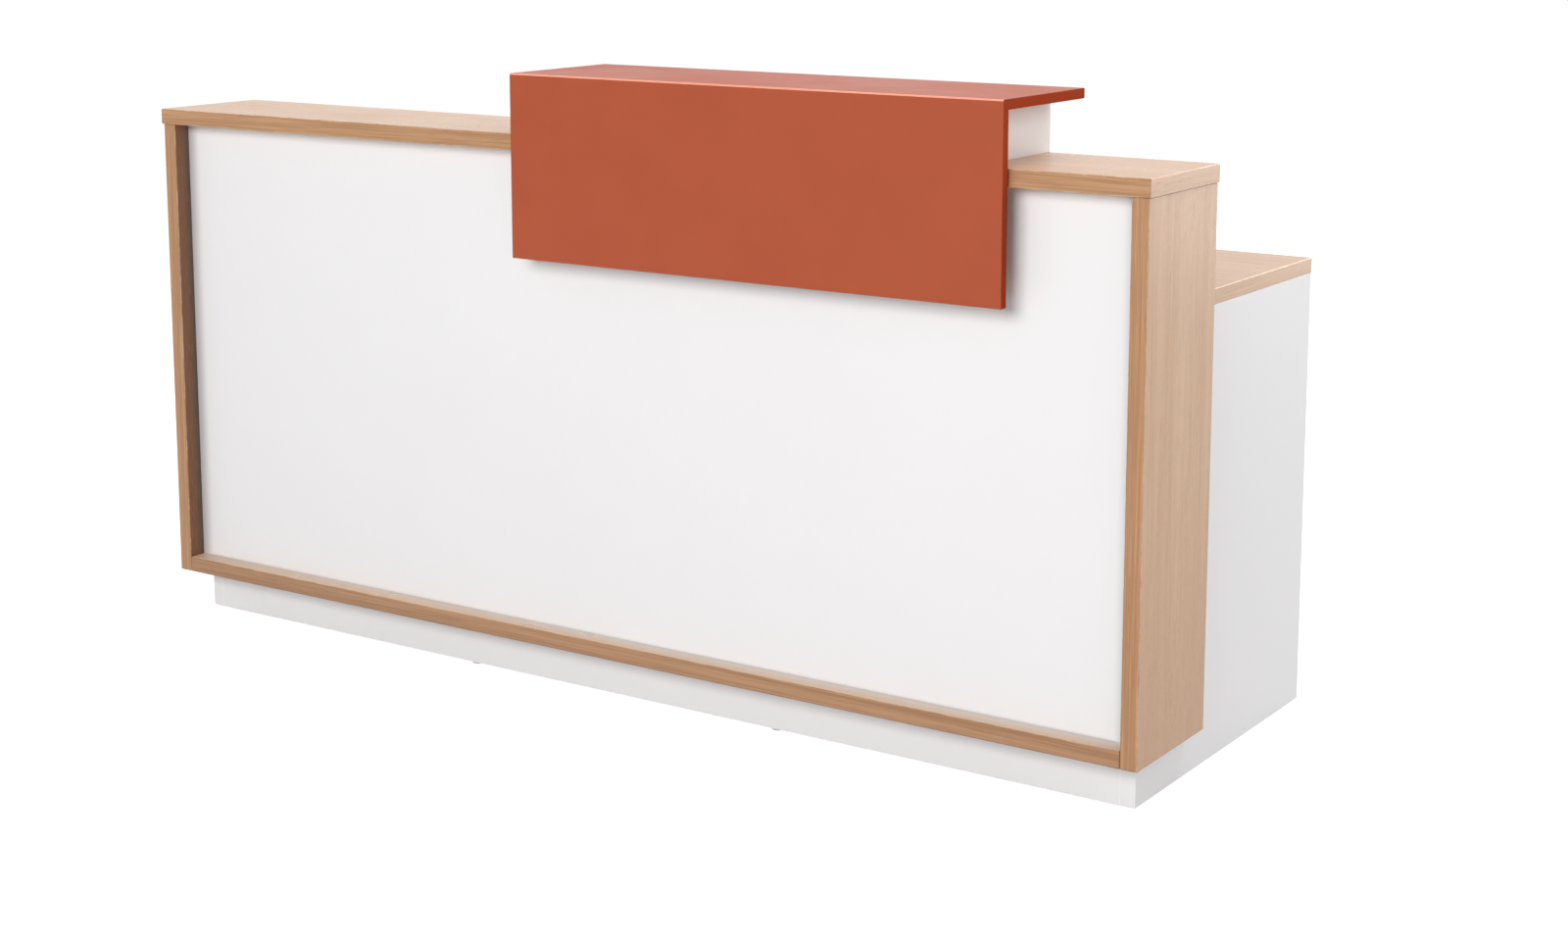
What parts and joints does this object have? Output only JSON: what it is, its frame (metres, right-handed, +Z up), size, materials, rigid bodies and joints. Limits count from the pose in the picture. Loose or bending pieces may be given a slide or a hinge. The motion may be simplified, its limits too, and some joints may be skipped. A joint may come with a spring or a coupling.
{
  "type": "reception desk",
  "caption": "Reception desk with a wooden box frame, recessed white front panel, raised terracotta shelf over a wooden counter, and a lower worktop behind.",
  "frame": {"origin": "on the floor, below the middle of the desk's bounding box", "axes": "+X to the visitor's right along the counter, +Y from the visitor to the receptionist, +Z up"},
  "size_m": [2, 0.705, 1.058],
  "materials": {
    "oak_melamine": "satin wood-grain melamine with eased edging",
    "white_melamine": "satin white melamine board",
    "terracotta_laminate": "satin terracotta laminate on board",
    "grey_steel": "silver-grey powder coat",
    "zinc_steel": "bright zinc plate",
    "white_nylon": "moulded nylon over a steel screw",
    "grey_plastic": "fine moulded texture"
  },
  "bodies": {
    "desk": {"counter_top": "oak_melamine", "upright_left": "oak_melamine", "upright_right": "oak_melamine", "bottom_rail": "oak_melamine", "worktop": "oak_melamine", "front_panel": "white_melamine", "plinth": "white_melamine", "end_panel_left": "white_melamine", "end_panel_right": "white_melamine", "riser_left": "white_melamine", "riser_right": "white_melamine", "riser_front": "white_melamine", "shelf_top": "terracotta_laminate", "shelf_fascia": "terracotta_laminate", "worktop_beam": "grey_steel", "beam_plate_left": "grey_steel", "beam_plate_right": "grey_steel", "counter_bracket_1": "grey_steel", "counter_bracket_2": "grey_steel", "counter_bracket_3": "grey_steel", "counter_bracket_4": "grey_steel", "worktop_bracket_1": "grey_steel", "worktop_bracket_2": "grey_steel", "worktop_bracket_3": "grey_steel", "worktop_bracket_4": "grey_steel", "foot_socket_front_left": "zinc_steel", "foot_socket_rear_left": "zinc_steel", "foot_socket_plinth_left": "zinc_steel", "foot_socket_plinth_right": "zinc_steel", "foot_socket_front_right": "zinc_steel", "foot_socket_rear_right": "zinc_steel", "grommet_sleeve_left": "grey_plastic", "grommet_sleeve_right": "grey_plastic"},
    "foot_front_left": {"foot_front_left": "white_nylon"},
    "foot_rear_left": {"foot_rear_left": "white_nylon"},
    "foot_plinth_left": {"foot_plinth_left": "white_nylon"},
    "foot_plinth_right": {"foot_plinth_right": "white_nylon"},
    "foot_front_right": {"foot_front_right": "white_nylon"},
    "foot_rear_right": {"foot_rear_right": "white_nylon"},
    "grommet_cap_left": {"grommet_cap_left": "grey_plastic"},
    "grommet_cap_right": {"grommet_cap_right": "grey_plastic"}
  },
  "joints": [
    {"name": "foot_front_left_screw", "type": "slide", "parent": "desk", "child": "foot_front_left", "axis": [0, 0, -1], "range_m": [0, 0.01]},
    {"name": "foot_rear_left_screw", "type": "slide", "parent": "desk", "child": "foot_rear_left", "axis": [0, 0, -1], "range_m": [0, 0.01]},
    {"name": "foot_plinth_left_screw", "type": "slide", "parent": "desk", "child": "foot_plinth_left", "axis": [0, 0, -1], "range_m": [0, 0.01]},
    {"name": "foot_plinth_right_screw", "type": "slide", "parent": "desk", "child": "foot_plinth_right", "axis": [0, 0, -1], "range_m": [0, 0.01]},
    {"name": "foot_front_right_screw", "type": "slide", "parent": "desk", "child": "foot_front_right", "axis": [0, 0, -1], "range_m": [0, 0.01]},
    {"name": "foot_rear_right_screw", "type": "slide", "parent": "desk", "child": "foot_rear_right", "axis": [0, 0, -1], "range_m": [0, 0.01]},
    {"name": "grommet_left_turn", "type": "hinge", "parent": "desk", "child": "grommet_cap_left", "pos_m": [-0.52, -0.1685, 0.757], "axis": [0, 0, 1], "continuous": true},
    {"name": "grommet_right_turn", "type": "hinge", "parent": "desk", "child": "grommet_cap_right", "pos_m": [0.52, -0.1685, 0.757], "axis": [0, 0, 1], "continuous": true}
  ]
}
